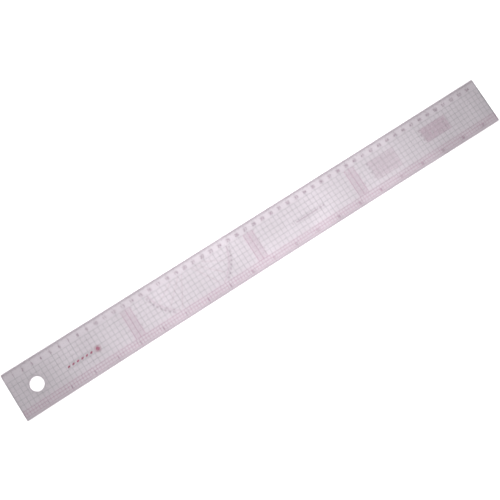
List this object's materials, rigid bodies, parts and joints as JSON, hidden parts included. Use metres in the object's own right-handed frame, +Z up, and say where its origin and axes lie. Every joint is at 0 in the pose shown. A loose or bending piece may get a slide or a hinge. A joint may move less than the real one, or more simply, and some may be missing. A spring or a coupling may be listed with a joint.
{
  "type": "quilting ruler",
  "caption": "Long clear plastic quilting ruler with a hanging hole, metric and inch edge scales, a sealed measuring grid, an angle guide and seam-width ladders.",
  "frame": {"origin": "middle of the underside, on the surface the ruler lies on", "axes": "+X along the ruler, away from the hanging hole and up the scales; +Y towards the centimetre edge; +Z up, out of the face that is read"},
  "size_m": [0.55, 0.05, 0.0012],
  "materials": {
    "clear_sheet": "glossy clear flexible vinyl with a faint lilac-grey cast and fine handling scratches",
    "bond": "clear bonding film sealed inside the plate",
    "grey_ink": "thin screen-printed grey ink sealed under a clear sheet",
    "magenta_ink": "thin screen-printed magenta ink sealed under a clear sheet",
    "crimson_ink": "thin screen-printed crimson ink sealed under a clear sheet",
    "dark_ink": "thin screen-printed near-black ink sealed under a clear sheet"
  },
  "bodies": {
    "root": {"back_sheet": "clear_sheet", "bond_film": "bond", "front_sheet": "clear_sheet", "half_centimetre_grid": "grey_ink", "centimetre_leads": "grey_ink", "eighth_inch_grid": "magenta_ink", "inch_edge_ticks": "magenta_ink", "width_scale_near": "magenta_ink", "width_scale_middle": "magenta_ink", "width_scale_far": "magenta_ink", "fine_grid_large": "magenta_ink", "fine_grid_small": "magenta_ink", "protractor_arc": "magenta_ink", "degree_ticks": "magenta_ink", "angle_rays": "crimson_ink", "stitch_ornament": "crimson_ink", "button_ornament": "crimson_ink", "millimetre_ticks": "dark_ink", "half_centimetre_ticks": "dark_ink", "centimetre_ticks": "dark_ink", "centimetre_numerals": "dark_ink", "inch_numerals": "dark_ink", "angle_numerals": "dark_ink", "width_scale_numerals": "dark_ink", "fine_grid_numerals": "dark_ink", "comparison_bar": "dark_ink"}
  },
  "joints": []
}
